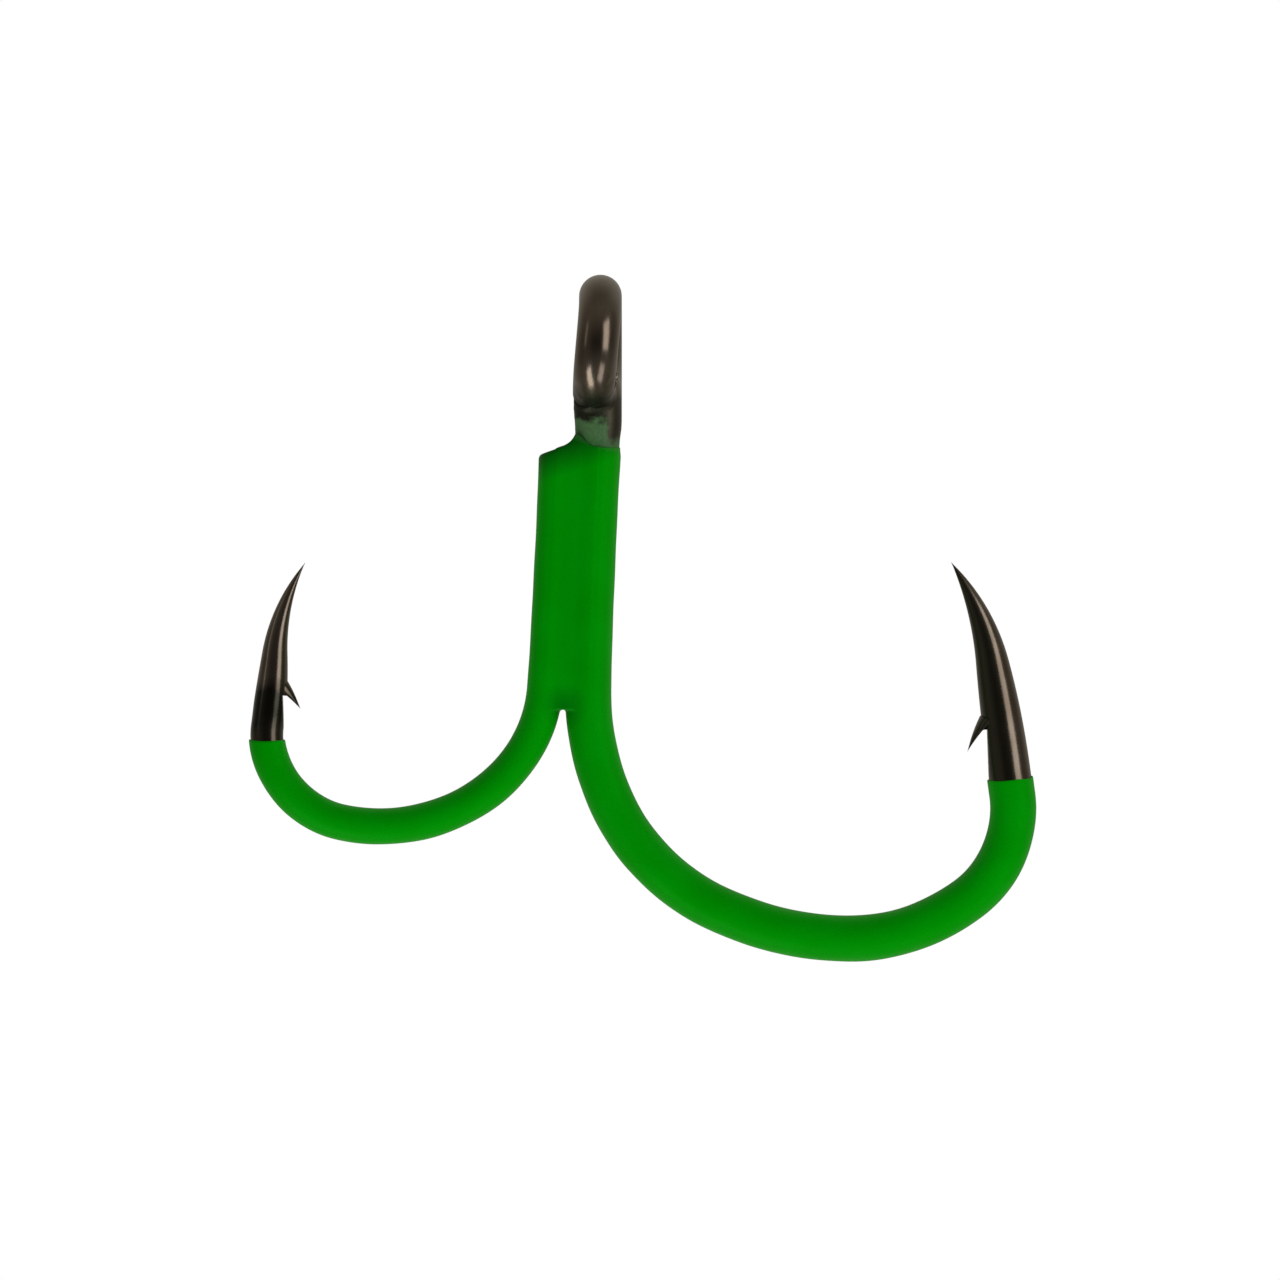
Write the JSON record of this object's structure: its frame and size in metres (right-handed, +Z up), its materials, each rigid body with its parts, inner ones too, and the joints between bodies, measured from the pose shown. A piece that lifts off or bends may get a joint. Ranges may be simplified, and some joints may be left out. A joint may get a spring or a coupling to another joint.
{
  "type": "double fishing hook",
  "caption": "Barbed fishing hook with a large eyed arm and a thinner arm brazed to its shank, dark metal points and eye, green coated shank and bends.",
  "frame": {"origin": "middle of the inner top of the eye, where a line or ring pulls", "axes": "+Z up along the shank from the bends towards the eye; +X from the shank towards the large hook; the hooks lie in the XZ plane and the eye's ring in the YZ plane"},
  "size_m": [0.0416, 0.0073, 0.0363],
  "materials": {
    "black_nickel": "warm black nickel, semi-gloss",
    "braze": "plated and tinted dark together with the hooks",
    "green_coat": "satin green powder coat"
  },
  "bodies": {
    "root": {"large_hook": "black_nickel", "small_hook": "black_nickel", "shank_braze": "braze", "eye_braze": "braze", "green_coating": "green_coat"}
  },
  "joints": []
}
